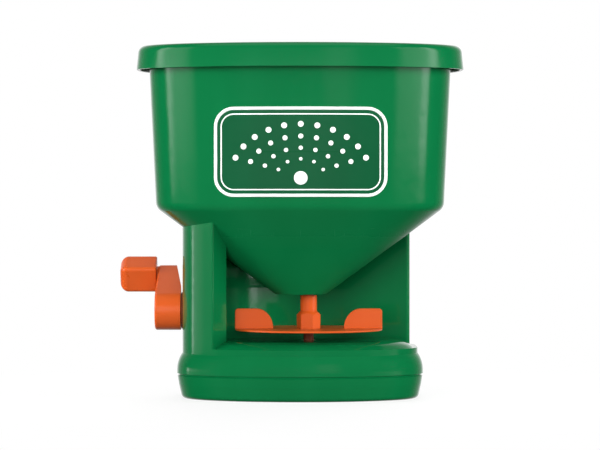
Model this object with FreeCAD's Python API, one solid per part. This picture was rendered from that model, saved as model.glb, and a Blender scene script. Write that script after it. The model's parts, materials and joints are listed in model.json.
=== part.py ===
import FreeCAD, Part
import math, os
from FreeCAD import Vector as V

# Hand-held broadcast spreader. Millimetres. +Z up, front (throwing side) = -Y,
# crank on the -X side, handle on the +Y side.
# Origin: middle of the flat underside of the base tray, under the hopper's axis.

os.makedirs("parts", exist_ok=True)

# ---------------------------------------------------------------- dimensions
WALL = 3.0

# base (closed outline: half-ellipse in front, squarer curve behind)
BASE_HW, BASE_YF, BASE_YB, BASE_P = 86.0, 54.0, 74.0, 5.0
TRAY_TOP = 17.5
DECK_Z = 40.5
DECK_T = 3.0
SHOULDER_R = 20.5

# body (pillar + rear wall of the throwing bay)
BODY_HW, BODY_YF, BODY_YB, BODY_P = 82.2, 50.8, 70.0, 5.0
BAY_TILT = 8.5          # the bay's rear wall faces a little to the crank side
BAY_R, BAY_CX, BAY_CY = 80.0, 17.7, -24.3   # it then curves round into the crank side
BAY_SWEEP = 61.0
BAY_DIST = BAY_R + (BAY_CX - 6.0) * math.sin(math.radians(BAY_TILT)) + BAY_CY * math.cos(math.radians(BAY_TILT))
PILLAR_FACE = ((-72.5, -50.5), (-51.0, -22.9))   # slanted inner face of the crank-side pillar
PILLAR_X_FRONT, PILLAR_X_BACK = -59.4, -52.0

# hopper
HOP_TOP = 243.0
HOP_TOP_HW, HOP_TOP_YF, HOP_TOP_YB = 106.0, 57.0, 73.0
SHO_Z = 133.0           # where box and cone meet
SHO_HW, SHO_YF, SHO_YB, SHO_P = 100.6, 54.0, 70.5, 4.0
SHO_R = 8.0
NECK_Z, NECK_R, NECK_X = 72.7, 18.0, 0.7
FLOOR_T = 2.5
RIM = 1.2               # lip round the mouth, under the lid

# lid
LID_Z0, LID_Z1 = 229.5, 246.0
LID_HW, LID_YF, LID_YB, LID_P = 114.3, 65.3, 82.3, 3.4
LID_DRAFT = 1.5
LID_WALL = 2.2
HINGE_Y, HINGE_Z, HINGE_R, HINGE_PIN_R = 87.5, 235.5, 4.0, 1.75

# spinner and its shaft
SPIN_X, SPIN_Y = 6.0, 0.0
DISC_R, DISC_Z, DISC_T = 51.5, 47.3, 1.3
VANE_Z = 62.5
SHAFT_R = 3.5
HUB_R, HUB_Z = 8.05, 60.0
SLEEVE_R, SLEEVE_Z = 5.8, 71.8

# crank
CRANK_Y, CRANK_Z = 17.0, 60.5
TIP_Y, TIP_Z = 53.0, 85.3
ARM_X0, ARM_X1 = -102.2, -84.0
CRANK_SHAFT_R = 5.0
KNOB_R = 13.1

# gears (module 2)
N_CROWN, N_IDLER, N_PINION = 34, 33, 9
R_CROWN, R_IDLER, R_PINION = 34.0, 33.0, 9.0
ADD, DED = 1.6, 2.0
IDLER_X, IDLER_Y = -32.4, 17.0
GEAR_Z0, GEAR_Z1 = 23.0, 30.0

# flow gate
GATE_TRAVEL = 9.0
ROD_Z, ROD_R = 79.6, 2.5

# handle
H_HALF = 14.0
H_TOP, H_BOT = 128.0, 10.0
HANDLE_GAP = 0.12


def fmt(s, name):
    s.exportStep("parts/%s.step" % name)


# ---------------------------------------------------------------- helpers
def half(hw, depth, p, n, sign):
    """n points, evenly spaced along one half of the outline, from +X to -X."""
    m = 720
    raw = []
    for i in range(m + 1):
        t = math.pi * i / m
        c, s = math.cos(t), math.sin(t)
        e = 2.0 / p
        raw.append((hw * math.copysign(abs(c) ** e, c), sign * depth * abs(s) ** e))
    acc = [0.0]
    for i in range(m):
        acc.append(acc[-1] + math.hypot(raw[i + 1][0] - raw[i][0], raw[i + 1][1] - raw[i][1]))
    out, k = [], 0
    for j in range(n):
        d = acc[-1] * j / n
        while acc[k + 1] < d:
            k += 1
        f = (d - acc[k]) / (acc[k + 1] - acc[k])
        out.append((raw[k][0] + f * (raw[k + 1][0] - raw[k][0]),
                    raw[k][1] + f * (raw[k + 1][1] - raw[k][1])))
    return out


def ring(hw, yf, yb, z, pb=5.0, pf=2.0, cx=0.0):
    nb, nf = 34, 28
    back = half(hw, yb, pb, nb, 1.0)
    front = half(hw, yf, pf, nf, -1.0)
    pts = [V(x + cx, y, z) for x, y in back]
    pts += [V(-x + cx, y, z) for x, y in front]
    c = Part.BSplineCurve()
    n = len(pts)
    c.interpolate(Points=pts, PeriodicFlag=True, Parameters=[float(i) for i in range(n + 1)])
    return Part.Wire([c.toShape()])


def loft(wires, ruled=True):
    return Part.makeLoft(wires, True, ruled)


def cyl(x, y, z, r, h, d=(0, 0, 1)):
    return Part.makeCylinder(r, h, V(x, y, z), V(*d))


def tube(x, y, z, ro, ri, h, d=(0, 0, 1)):
    return cyl(x, y, z, ro, h, d).cut(cyl(x, y, z, ri, h, d))


def box(x0, y0, z0, x1, y1, z1):
    return Part.makeBox(x1 - x0, y1 - y0, z1 - z0, V(x0, y0, z0))


def prism(pts, z0, z1):
    w = Part.makePolygon([V(x, y, z0) for x, y in pts] + [V(pts[0][0], pts[0][1], z0)])
    return Part.Face(w).extrude(V(0, 0, z1 - z0))


def prism_x(pts, x0, x1):
    w = Part.makePolygon([V(x0, y, z) for y, z in pts] + [V(x0, pts[0][0], pts[0][1])])
    return Part.Face(w).extrude(V(x1 - x0, 0, 0))


def fuse(parts):
    a = parts[0]
    if len(parts) > 1:
        a = a.multiFuse(parts[1:])
    return a.removeSplitter()


def solid(s, name=""):
    """The single solid of a shape (the largest, should slivers be left)."""
    so = sorted(s.Solids, key=lambda q: -q.Volume)
    if len(so) > 1:
        print("  note", name, "pieces", [round(q.Volume, 2) for q in so])
    return so[0]


def edges_where(s, test):
    out = []
    for e in s.Edges:
        try:
            a, b = e.FirstParameter, e.LastParameter
            pts = [e.valueAt(a + (b - a) * k / 4.0) for k in range(5)]
        except Exception:
            continue
        if test(e, pts):
            out.append(e)
    return out


def fillet(s, r, test, name=""):
    es = edges_where(s, test)
    for k in (1.0, 0.8, 0.6, 0.4):
        try:
            f = s.makeFillet(r * k, es)
            if f.isValid() and f.Volume > 0 and abs(f.Volume - s.Volume) < 0.5 * s.Volume:
                if k < 1.0:
                    print("  fillet", name, "at", r * k)
                return f
        except Exception:
            pass
    print("  fillet", name, "left out,", len(es), "edges")
    return s


def checked(op, low, high, name=""):
    """Run a boolean with rising fuzzy tolerance until its volume is in the range it must have."""
    s = None
    for t in (0.0, 0.002, 0.01, 0.03):
        s = solid(op(t))
        if low <= s.Volume <= high and s.isValid():
            return s
    print("  boolean", name, "out of range", round(s.Volume), round(low), round(high))
    return s


def cutv(s, t, name=""):
    """Cut, and make sure what went is what the two share."""
    v = s.common(t).Volume
    r = solid(s.cut(t))
    if abs(s.Volume - v - r.Volume) > 0.002 * s.Volume + 5 or v <= 0:
        for f in (0.002, 0.01, 0.03):
            v2, r2 = s.common([t], f).Volume, solid(s.cut([t], f))
            if abs(s.Volume - v2 - r2.Volume) <= 0.002 * s.Volume + 5 and v2 > 0:
                return r2
        print("  cut", name, "uncertain", round(s.Volume), round(v), round(r.Volume))
    return r


def flat_at(z, tol=0.01):
    return lambda e, pts: all(abs(p.z - z) < tol for p in pts)


def rounded(pts, r, to=lambda a, b: V(0, a, b)):
    """Closed polygon in (Y, Z) with its corners rounded; r is one value or a list."""
    n = len(pts)
    e, ends = [], []
    for i in range(n):
        p0, p1, p2 = to(*pts[i - 1]), to(*pts[i]), to(*pts[(i + 1) % n])
        rr = r[i] if isinstance(r, list) else r
        d0, d1 = (p0 - p1), (p2 - p1)
        d0.normalize(); d1.normalize()
        ang = math.acos(max(-1, min(1, d0.dot(d1))))
        if rr <= 0:
            ends.append((p1, p1, None))
            continue
        t = rr / math.tan(ang / 2)
        a, b = p1 + d0 * t, p1 + d1 * t
        bis = d0 + d1
        bis.normalize()
        m = p1 + bis * (rr / math.sin(ang / 2) - rr)
        ends.append((a, b, m))
    for i in range(n):
        a, b, m = ends[i]
        if m is not None:
            e.append(Part.Arc(a, m, b).toShape())
        nxt = ends[(i + 1) % n][0]
        if (nxt - b).Length > 1e-6:
            e.append(Part.LineSegment(b, nxt).toShape())
    return Part.Wire(Part.__sortEdges__(e))


# ---------------------------------------------------------------- hopper solids
def hopper_outer(dz=0.0):
    bx = loft([ring(SHO_HW, SHO_YF, SHO_YB, SHO_Z + dz, SHO_P),
               ring(HOP_TOP_HW, HOP_TOP_YF, HOP_TOP_YB, HOP_TOP + dz, SHO_P)])
    cone = loft([ring(NECK_R, NECK_R, NECK_R, NECK_Z + dz, 2.0, 2.0, NECK_X),
                 ring(SHO_HW, SHO_YF, SHO_YB, SHO_Z + dz, SHO_P)])
    s = bx.fuse(cone)
    return fillet(s, SHO_R, flat_at(SHO_Z + dz), "hopper shoulder")


HOP_OUT = hopper_outer()


def make_hopper():
    bx = loft([ring(SHO_HW - 2.2, SHO_YF - 2.2, SHO_YB - 2.2, SHO_Z + 3.0, SHO_P),
               ring(HOP_TOP_HW - 2.4, HOP_TOP_YF - 2.4, HOP_TOP_YB - 2.4, HOP_TOP + 3.0, SHO_P)])
    cone = loft([ring(NECK_R - 2.0, NECK_R - 2.0, NECK_R - 2.0, NECK_Z + FLOOR_T, 2.0, 2.0, NECK_X),
                 ring(SHO_HW - 2.2, SHO_YF - 2.2, SHO_YB - 2.2, SHO_Z + 3.0, SHO_P)])
    inner = fillet(bx.fuse(cone), 5.5, flat_at(SHO_Z + 3.0), "hopper inside")
    rim = loft([ring(HOP_TOP_HW + RIM - 0.1, HOP_TOP_YF + RIM - 0.1, HOP_TOP_YB + RIM - 0.1, HOP_TOP - 2.6, SHO_P),
                ring(HOP_TOP_HW + RIM, HOP_TOP_YF + RIM, HOP_TOP_YB + RIM, HOP_TOP, SHO_P)])
    bosses = [cyl(x, 61.0, 112.0, 4.5, 24.0) for x in (-40.0, 40.0)]
    s = HOP_OUT.multiFuse([rim] + bosses)
    s = s.cut(inner)
    for sx in (-1, 1):
        s = s.cut(cyl(sx * 40.0, 61.0, 111.0, 1.6, 12.0))
        for z in BRACKET_RIVETS_Z:
            s = s.cut(cyl(sx * 40.0, 60.0, z, 1.6, 20.0, (0, 1, 0)))
    # shaft bush hole, outlet port behind it, and the gate's way out of the neck
    s = s.cut(cyl(SPIN_X, SPIN_Y, NECK_Z - 1, 5.5, 6.0))
    port = box(-6.0, 7.6, NECK_Z - 1, 6.0, 14.2, NECK_Z + 4)
    s = s.cut(port)
    s = s.cut(box(-7.2, 10.0, NECK_Z + FLOOR_T, 7.2, 30.0, NECK_Z + FLOOR_T + 2.0))
    s = s.cut(box(-2.8, 16.0, NECK_Z + FLOOR_T, 2.8, 34.0, ROD_Z + 2.8))
    return solid(s, "hopper")


BRACKET_RIVETS_Z = (203.0, 217.0)


def make_brackets():
    """Two fork brackets on the hopper's back that carry the lid's hinge pins."""
    out = []
    for sx in (-1, 1):
        b = box(sx * 40.0 - 13.0, 66.0, 197.0, sx * 40.0 + 13.0, 74.6, 227.0)
        b = fillet(b, 3.0, lambda e, p: all(q.y > 74.5 for q in p) or (abs(p[0].x - p[-1].x) < 0.01 and
                   abs(p[0].z - p[-1].z) < 0.01 and p[0].z < 200), "bracket")
        for x0 in (sx * 40.0 - 13.0, sx * 40.0 + 6.5):
            ear = prism_x([(70.0, 206.0), (73.0, 206.0), (HINGE_Y + HINGE_R, 231.0),
                           (HINGE_Y + HINGE_R, HINGE_Z), (HINGE_Y - HINGE_R, HINGE_Z),
                           (HINGE_Y - HINGE_R, 228.3), (70.0, 226.4)], x0, x0 + 6.5)
            ear = ear.fuse(cyl(x0, HINGE_Y, HINGE_Z, HINGE_R, 6.5, (1, 0, 0)))
            b = b.fuse(ear)
        b = b.cut(HOP_OUT)
        b = b.cut(cyl(sx * 40.0 - 15.0, HINGE_Y, HINGE_Z, HINGE_PIN_R, 30.0, (1, 0, 0)))
        for z in BRACKET_RIVETS_Z:
            b = b.cut(cyl(sx * 40.0, 60.0, z, 1.6, 20.0, (0, 1, 0)))
        out.append(solid(b, "bracket"))
    return Part.makeCompound(out)


# ---------------------------------------------------------------- housing
def bay_y(x):
    t = math.radians(BAY_TILT)
    return (BAY_DIST - (x - SPIN_X) * math.sin(t)) / math.cos(t)


def bay_round(off=0.0):
    """Corner and end point of the rear wall's round, for a wall set back by off."""
    a0, a1 = math.radians(-BAY_TILT), math.radians(BAY_SWEEP)
    r, m, h = BAY_R + off, (a0 + a1) / 2, (a1 - a0) / 2
    corner = (BAY_CX - r / math.cos(h) * math.sin(m), BAY_CY + r / math.cos(h) * math.cos(m))
    end = (BAY_CX - r * math.sin(a1) - 0.5 * math.cos(a1), BAY_CY + r * math.cos(a1) - 0.5 * math.sin(a1))
    return corner, end, r


def plan_prism(pts, r, z0, z1):
    return Part.Face(rounded(pts, r, lambda a, b: V(a, b, z0))).extrude(V(0, 0, z1 - z0))


def pillar_x(y, off=0.0):
    k = (PILLAR_X_BACK - PILLAR_X_FRONT) / (63.0 + 30.0)
    return PILLAR_X_FRONT + k * (y + 30.0) + off


def make_housing():
    b = loft([ring(BASE_HW, BASE_YF, BASE_YB, TRAY_TOP, BASE_P),
              ring(BASE_HW, BASE_YF, BASE_YB, DECK_Z, BASE_P)])
    b = fillet(b, SHOULDER_R, flat_at(DECK_Z), "base shoulder")
    up = loft([ring(BODY_HW, BODY_YF, BODY_YB, 24.0, BODY_P),
               ring(BODY_HW, BODY_YF, BODY_YB, 137.5, BODY_P)])
    # throwing bay: open to the front and to the right
    corner, end, r = bay_round()
    bay = plan_prism([PILLAR_FACE[0], (PILLAR_FACE[0][0], -80), (120, -80), (120, bay_y(120)), corner, end, PILLAR_FACE[1]],
                     [0, 0, 0, 0, r, 0, 0], DECK_Z - 5.0, 150.0)
    up = up.cut(bay)
    up = fillet(up, 0.9, lambda e, p: (all(-62.5 < q.x < -50.0 and -38.0 < q.y < -21.0 for q in p) and
                                       max(q.z for q in p) - min(q.z for q in p) > 60), "pillar edges")
    up = fillet(up, 2.5, lambda e, p: (all(q.x > 60 for q in p) and
                                       max(q.z for q in p) - min(q.z for q in p) > 60), "bay end")
    up = cutv(up, hopper_outer(-0.2), "hopper seat")
    s = checked(lambda t: b.fuse([up], t) if t else b.fuse(up), max(b.Volume, up.Volume) * 1.05, 1e9, "base and upper")
    # inside: gear room under the deck, pillar room, rear wall room
    bi = loft([ring(BASE_HW - WALL, BASE_YF - WALL, BASE_YB - WALL, TRAY_TOP - 1, BASE_P),
               ring(BASE_HW - WALL, BASE_YF - WALL, BASE_YB - WALL, DECK_Z - DECK_T, BASE_P)])
    bi = fillet(bi, SHOULDER_R - WALL, flat_at(DECK_Z - DECK_T), "inner shoulder")
    ins = loft([ring(BODY_HW - WALL, BODY_YF - WALL, BODY_YB - WALL, 24.0, BODY_P),
                ring(BODY_HW - WALL, BODY_YF - WALL, BODY_YB - WALL, 99.5, BODY_P)])
    pil = ins.common(prism([(-120, -80), (pillar_x(-80, -WALL), -80),
                            (pillar_x(80, -WALL), 80), (-120, 80)], 20, 110))
    ins2 = loft([ring(BODY_HW - WALL, BODY_YF - WALL, BODY_YB - WALL, 24.0, BODY_P),
                 ring(BODY_HW - WALL, BODY_YF - WALL, BODY_YB - WALL, 107.0, BODY_P)])
    corner, end, r = bay_round(WALL)
    back = plan_prism([(62, 90), (62, bay_y(62) + WALL / math.cos(math.radians(BAY_TILT))), corner, end, (end[0], 90)],
                      [0, 0, r, 0, 0], 20, 120)
    back = ins2.common(back.common(box(-51.0, -80, 10, 80, 100, 130)))
    s = cutv(s, bi, "gear room")
    s = cutv(s, pil, "pillar room")
    s = cutv(s, back, "rear room")
    add = []
    # bearing boss for the crank shaft's inner end, inside the pillar
    xin = pillar_x(CRANK_Y, -WALL)
    add.append(cyl(xin - 2.8, CRANK_Y, CRANK_Z, 9.0, 4.0, (1, 0, 0)))
    # bosses for the tray screws, handle screws and hopper screws
    for x, y in TRAY_BOSSES:
        add.append(cyl(x, y, TRAY_TOP, 4.5, 20.5))
    for q in add:
        s = s.fuse(q)
    s = solid(s, "housing with bosses")
    # holes
    cut = [cyl(-100, CRANK_Y, CRANK_Z, 7.0, 25.0, (1, 0, 0)),                 # outer bush
           cyl(xin - 3.5, CRANK_Y, CRANK_Z, 6.6, 3.6, (1, 0, 0)),             # inner bush pocket
           cyl(SPIN_X, SPIN_Y, 30, 5.5, 20.0),                                # deck bush
           cyl(0, 40, ROD_Z, 2.62, 60, (0, 1, 0))]                            # pull rod
    for x, y in TRAY_BOSSES:
        cut.append(cyl(x, y, TRAY_TOP - 1, 1.7, 15.0))
    for x in (-40.0, 40.0):
        cut.append(cyl(x, 61.0, 111.0, 4.8, 30.0))
        cut.append(cyl(x, 61.0, 100.0, 2.1, 20.0))
    for x, z in HANDLE_SCREWS:
        cut.append(cyl(x, 60.0, z, 1.7, 20.0, (0, 1, 0)))
    for c in cut:
        s = s.cut(c)
    return solid(s, "housing")


TRAY_BOSSES = [(64.0, 20.0), (54.0, -22.0), (-56.0, -22.0), (-54.0, 54.0)]
HANDLE_SCREWS = [(-8.5, 34.0), (8.5, 34.0), (-8.5, 101.5), (8.5, 101.5)]


def tray_body(extra):
    yf = BASE_YF + extra
    lower = loft([ring(BASE_HW - 3.6, yf - 3.6, BASE_YB - 3.6, 0.0, BASE_P),
                  ring(BASE_HW - 1.3, yf - 1.3, BASE_YB - 1.3, 10.0, BASE_P)])
    upper = loft([ring(BASE_HW - 1.3, yf - 1.3, BASE_YB - 1.3, 10.0, BASE_P),
                  ring(BASE_HW - 0.15, yf - 0.15, BASE_YB - 0.15, TRAY_TOP, BASE_P)])
    return fillet(lower.fuse(upper), 3.5, flat_at(0.0), "tray foot")


def make_tray():
    s = tray_body(0.0)
    # the middle of the front stands a little proud
    s = s.fuse(tray_body(0.55).common(box(-44.0, -80.0, -1.0, 44.0, -15.0, TRAY_TOP - 0.5)))
    inner = loft([ring(BASE_HW - 6.4, BASE_YF - 6.4, BASE_YB - 6.4, 3.0, BASE_P),
                  ring(BASE_HW - 3.2, BASE_YF - 3.2, BASE_YB - 3.2, TRAY_TOP + 1, BASE_P)])
    s = s.cut(inner)
    add = [cyl(IDLER_X, IDLER_Y, 2.0, 6.5, 19.5),
           cyl(SPIN_X, SPIN_Y, 2.0, 7.5, 17.5)]
    for x, y in TRAY_BOSSES:
        add.append(cyl(x, y, 2.0, 5.5, TRAY_TOP - 2.15))
    # stiffening ribs on the floor
    add.append(box(-60, 16.0, 2.0, 60, 18.0, 8.0))
    add.append(box(5.0, -40.0, 2.0, 7.0, 60.0, 8.0))
    for a in add:
        s = s.fuse(a)
    cut = [cyl(IDLER_X, IDLER_Y, 3.5, 3.0, 30.0), cyl(SPIN_X, SPIN_Y, 5.0, 5.5, 20.0)]
    for x, y in TRAY_BOSSES:
        cut.append(cyl(x, y, -1, 4.2, 5.0))
        cut.append(cyl(x, y, -1, 2.2, 30.0))
    for c in cut:
        s = s.cut(c)
    return solid(s, "tray")


# ---------------------------------------------------------------- lid
def make_lid():
    d = LID_DRAFT
    out = loft([ring(LID_HW, LID_YF, LID_YB, LID_Z0, LID_P),
                ring(LID_HW - d, LID_YF - d, LID_YB - d, LID_Z1, LID_P)])
    out = fillet(out, 5.0, flat_at(LID_Z1), "lid edge")
    w = LID_WALL
    inn = loft([ring(LID_HW - w + 0.1, LID_YF - w + 0.1, LID_YB - w + 0.1, LID_Z0 - 1.0, LID_P),
                ring(LID_HW - d - w, LID_YF - d - w, LID_YB - d - w, LID_Z1 - w, LID_P)])
    inn = fillet(inn, 3.0, flat_at(LID_Z1 - w), "lid inside")
    s = out
    for sx in (-1, 1):
        x0 = sx * 40.0 - 6.2
        arm = prism_x([(78.0, 231.0), (78.0, 240.6), (84.0, 240.6), (HINGE_Y, HINGE_Z + HINGE_R),
                       (HINGE_Y, HINGE_Z - HINGE_R)], x0, x0 + 12.4)
        s = s.fuse(arm.fuse(cyl(x0, HINGE_Y, HINGE_Z, HINGE_R, 12.4, (1, 0, 0))))
    s = s.cut(inn)
    # shallow sunk panel on top
    pan = loft([ring(LID_HW - 24, LID_YF - 22, LID_YB - 24, LID_Z1 - 0.9, LID_P),
                ring(LID_HW - 21.5, LID_YF - 19.5, LID_YB - 21.5, LID_Z1 + 0.5, LID_P)])
    s = s.cut(pan)
    for sx in (-1, 1):
        s = s.cut(cyl(sx * 40.0 - 15.0, HINGE_Y, HINGE_Z, HINGE_PIN_R + 0.07, 30.0, (1, 0, 0)))
    return solid(s.removeSplitter(), "lid")


# ---------------------------------------------------------------- spinner group
def make_spinner():
    s = cyl(SPIN_X, SPIN_Y, DISC_Z, DISC_R, DISC_T)
    s = fillet(s, 0.4, lambda e, p: len(e.Vertexes) < 2, "disc rim")
    # six-sided hub with its top corners taken off, and the sleeve above it
    pts = [(SPIN_X + 8.5 * math.cos(math.radians(a)), SPIN_Y + 8.5 * math.sin(math.radians(a)))
           for a in (-129, -69, -9, 51, 111, 171)]
    hub = prism(pts, DISC_Z, HUB_Z + 1.2)
    hub = fillet(hub, 0.7, lambda e, p: abs(p[0].z - p[-1].z) > 5, "hub corners")
    hub = hub.common(Part.makeCone(8.3 + 14.0, 5.4, 16.9, V(SPIN_X, SPIN_Y, HUB_Z + 1.2 - 16.9), V(0, 0, 1)))
    sleeve = cyl(SPIN_X, SPIN_Y, HUB_Z - 2, SLEEVE_R, SLEEVE_Z - HUB_Z + 2)
    add = [hub, sleeve]
    # two upright vanes: a curved inner end, a small round at the outer top corner, soft edges
    zt, zb = VANE_Z, DISC_Z + DISC_T - 0.5
    inner, c = 24.6, 2.4
    curve = Part.BSplineCurve()
    curve.interpolate([V(inner + 12.0 - 12.0 * math.sin(math.pi / 2 * i / 14), -1.2,
                         zt - (zt - zb) * (1 - math.cos(math.pi / 2 * i / 14))) for i in range(15)])
    k45 = c * math.sin(math.pi / 4)
    edges = [curve.toShape(),
             Part.LineSegment(V(inner + 12.0, -1.2, zt), V(DISC_R - c, -1.2, zt)).toShape(),
             Part.Arc(V(DISC_R - c, -1.2, zt), V(DISC_R - c + k45, -1.2, zt - c + k45), V(DISC_R, -1.2, zt - c)).toShape(),
             Part.LineSegment(V(DISC_R, -1.2, zt - c), V(DISC_R, -1.2, zb)).toShape(),
             Part.LineSegment(V(DISC_R, -1.2, zb), V(inner, -1.2, zb)).toShape()]
    face = Part.Face(Part.Wire(Part.__sortEdges__(edges)))
    for k in range(2):
        v = face.extrude(V(0, 2.4, 0))
        v = fillet(v, 0.5, lambda e, p: (all(abs(abs(q.y) - 1.2) < 1e-4 for q in p) and max(q.z for q in p) > zb + 1.0), "vane")
        v.rotate(V(0, 0, 0), V(0, 0, 1), 180.0 * k)
        v.translate(V(SPIN_X, SPIN_Y, 0))
        add.append(v)
    for q in add:
        s = s.fuse(q)
    s = s.cut(cyl(SPIN_X, SPIN_Y, DISC_Z - 1, SHAFT_R, 40.0))
    return solid(s, "spinner")


def spur(cx, cy, n, rp, w_root, w_pitch, w_tip, z0, z1, phase):
    pts = []
    for k in range(n):
        a = math.radians(phase) + 2 * math.pi * k / n
        for r, h in ((rp - DED, -w_root), (rp, -w_pitch), (rp + ADD, -w_tip),
                     (rp + ADD, w_tip), (rp, w_pitch), (rp - DED, w_root)):
            d = math.asin(h / r)
            pts.append((cx + r * math.cos(a + d), cy + r * math.sin(a + d)))
    return prism(pts, z0, z1)


def make_idler():
    g = spur(IDLER_X, IDLER_Y, N_IDLER, R_IDLER, 1.55, 1.15, 0.65, GEAR_Z0, GEAR_Z1, PH_IDLER)
    g = g.cut(tube(IDLER_X, IDLER_Y, GEAR_Z0 + 4.0, 28.0, 9.0, 10.0))
    g = g.cut(tube(IDLER_X, IDLER_Y, GEAR_Z0 - 1.0, 28.0, 9.0, 2.5))
    g = g.fuse(cyl(IDLER_X, IDLER_Y, GEAR_Z0 - 1.2, 6.5, GEAR_Z1 - GEAR_Z0 + 2.2))
    for k in range(6):
        a = math.radians(60 * k)
        g = g.cut(cyl(IDLER_X + 18.5 * math.cos(a), IDLER_Y + 18.5 * math.sin(a), 10, 5.5, 30))
    g = g.cut(cyl(IDLER_X, IDLER_Y, 0, 3.06, 60))
    return solid(g.removeSplitter(), "idler")


def make_pinion():
    g = spur(SPIN_X, SPIN_Y, N_PINION, R_PINION, 1.35, 1.05, 0.6, GEAR_Z0 - 0.5, GEAR_Z1 + 0.5, PH_PINION)
    g = g.fuse(cyl(SPIN_X, SPIN_Y, GEAR_Z1, 6.0, 4.5))
    g = g.cut(cyl(SPIN_X, SPIN_Y, 0, SHAFT_R, 60))
    return solid(g.removeSplitter(), "pinion")


def make_crown():
    xm = IDLER_X - R_IDLER                      # pitch plane
    x_face = xm - DED
    body = cyl(x_face - 2.4, CRANK_Y, CRANK_Z, 37.0, 2.4, (1, 0, 0))
    body = body.fuse(cyl(x_face - 4.6, CRANK_Y, CRANK_Z, 9.0, 8.6, (1, 0, 0)))
    teeth = []
    for k in range(N_CROWN):
        a = math.radians(-90.0 + 360.0 * k / N_CROWN)
        # tooth outline in (tangential, X), run radially from 31 to 37
        pr = [(-1.5, x_face - 0.4), (-1.15, xm), (-0.65, xm + ADD), (0.65, xm + ADD), (1.15, xm), (1.5, x_face - 0.4)]
        base = [V(x, t, 31.2) for t, x in pr]
        w = Part.makePolygon(base + [base[0]])
        f = Part.Face(w).extrude(V(0, 0, 5.6))
        # radial direction is +Z here; turn it to angle a in the YZ plane
        f.rotate(V(0, 0, 0), V(1, 0, 0), math.degrees(a) - 90.0)
        f.translate(V(0, CRANK_Y, CRANK_Z))
        teeth.append(f)
    s = body.multiFuse(teeth)
    for k in range(5):
        a = math.radians(72 * k + 20)
        s = s.cut(cyl(x_face - 10, CRANK_Y + 20 * math.cos(a), CRANK_Z + 20 * math.sin(a), 6.0, 20, (1, 0, 0)))
    s = s.cut(cyl(x_face - 10, CRANK_Y, CRANK_Z, CRANK_SHAFT_R, 30, (1, 0, 0)))
    return solid(s.removeSplitter(), "crown")


# tooth phases: the face gear has a tooth straight down, the idler a gap there,
# and the pinion a gap wherever the idler has a tooth on the line of centres
PITCH_I = 360.0 / N_IDLER
PH_IDLER = 180.0 + PITCH_I / 2
_phi = math.degrees(math.atan2(SPIN_Y - IDLER_Y, SPIN_X - IDLER_X))
_u = ((_phi - PH_IDLER) / PITCH_I) % 1.0
_delta = -_u * PITCH_I                              # idler tooth nearest below the line
PH_PINION = _phi + 180.0 - _delta * N_IDLER / float(N_PINION) + 180.0 / N_PINION


# ---------------------------------------------------------------- crank
def hull_arm(r1, r2, x0, x1):
    """Tapered arm: tangent hull of two circles in the YZ plane."""
    dy, dz = TIP_Y - CRANK_Y, TIP_Z - CRANK_Z
    L = math.hypot(dy, dz)
    th = math.atan2(dz, dy)
    g = math.acos((r1 - r2) / L)
    def P(cy, cz, r, a):
        return V(x0, cy + r * math.cos(a), cz + r * math.sin(a))
    a1, a2 = th + g, th - g
    e = [Part.Arc(P(CRANK_Y, CRANK_Z, r1, a1), P(CRANK_Y, CRANK_Z, r1, th + math.pi), P(CRANK_Y, CRANK_Z, r1, a2)).toShape(),
         Part.LineSegment(P(CRANK_Y, CRANK_Z, r1, a2), P(TIP_Y, TIP_Z, r2, a2)).toShape(),
         Part.Arc(P(TIP_Y, TIP_Z, r2, a2), P(TIP_Y, TIP_Z, r2, th), P(TIP_Y, TIP_Z, r2, a1)).toShape(),
         Part.LineSegment(P(TIP_Y, TIP_Z, r2, a1), P(CRANK_Y, CRANK_Z, r1, a1)).toShape()]
    return Part.Face(Part.Wire(Part.__sortEdges__(e))).extrude(V(x1 - x0, 0, 0))


def make_arm():
    s = hull_arm(13.7, 6.3, ARM_X0, ARM_X1)
    # the arm thins towards the tip on both faces
    dy, dz = TIP_Y - CRANK_Y, TIP_Z - CRANK_Z
    L = math.hypot(dy, dz)
    th = math.degrees(math.atan2(dz, dy))

    def wedge(pts):
        w = Part.makePolygon([V(x, r, -40) for r, x in pts] + [V(pts[0][1], pts[0][0], -40)])
        f = Part.Face(w).extrude(V(0, 0, 80))
        f.rotate(V(0, 0, 0), V(1, 0, 0), th)
        f.translate(V(0, CRANK_Y, CRANK_Z))
        return f
    s = s.cut(wedge([(13.0, ARM_X1), (L + 12, ARM_X1 - 5.4), (L + 12, ARM_X1 + 5), (13.0, ARM_X1 + 5)]))
    s = s.cut(wedge([(13.0, ARM_X0), (L + 12, ARM_X0 + 1.2), (L + 12, ARM_X0 - 5), (13.0, ARM_X0 - 5)]))
    s = fillet(s, 1.7, lambda e, p: all(q.x < ARM_X0 + 2.3 for q in p), "arm outer edge")
    s = s.cut(cyl(ARM_X0 - 1, CRANK_Y, CRANK_Z, 5.6, 4.2, (1, 0, 0)))        # screw recess
    s = s.cut(cyl(ARM_X0 - 1, CRANK_Y, CRANK_Z, 2.1, 30, (1, 0, 0)))
    s = s.cut(cyl(ARM_X0 + 6.0, CRANK_Y, CRANK_Z, CRANK_SHAFT_R, 30, (1, 0, 0)))
    s = s.fuse(cyl(ARM_X0 - 0.1, TIP_Y, TIP_Z, 5.6, 5.0, (1, 0, 0)))       # spacer boss behind the knob
    s = s.cut(cyl(ARM_X0 - 5, TIP_Y, TIP_Z, 2.5, 40, (1, 0, 0)))
    return solid(s, "arm")


def knob_profile(r_c, corner, x0, x1, n=4, phase=17.5):
    """Prism along X on a polygon with well rounded corners."""
    pts = []
    for i in range(n):
        a = math.radians(phase + 360.0 * i / n)
        pts.append((TIP_Y - r_c * math.cos(a), TIP_Z + r_c * math.sin(a)))
    w = rounded(pts, corner)
    w.translate(V(x0, 0, 0))
    return Part.Face(w).extrude(V(x1 - x0, 0, 0))


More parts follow.
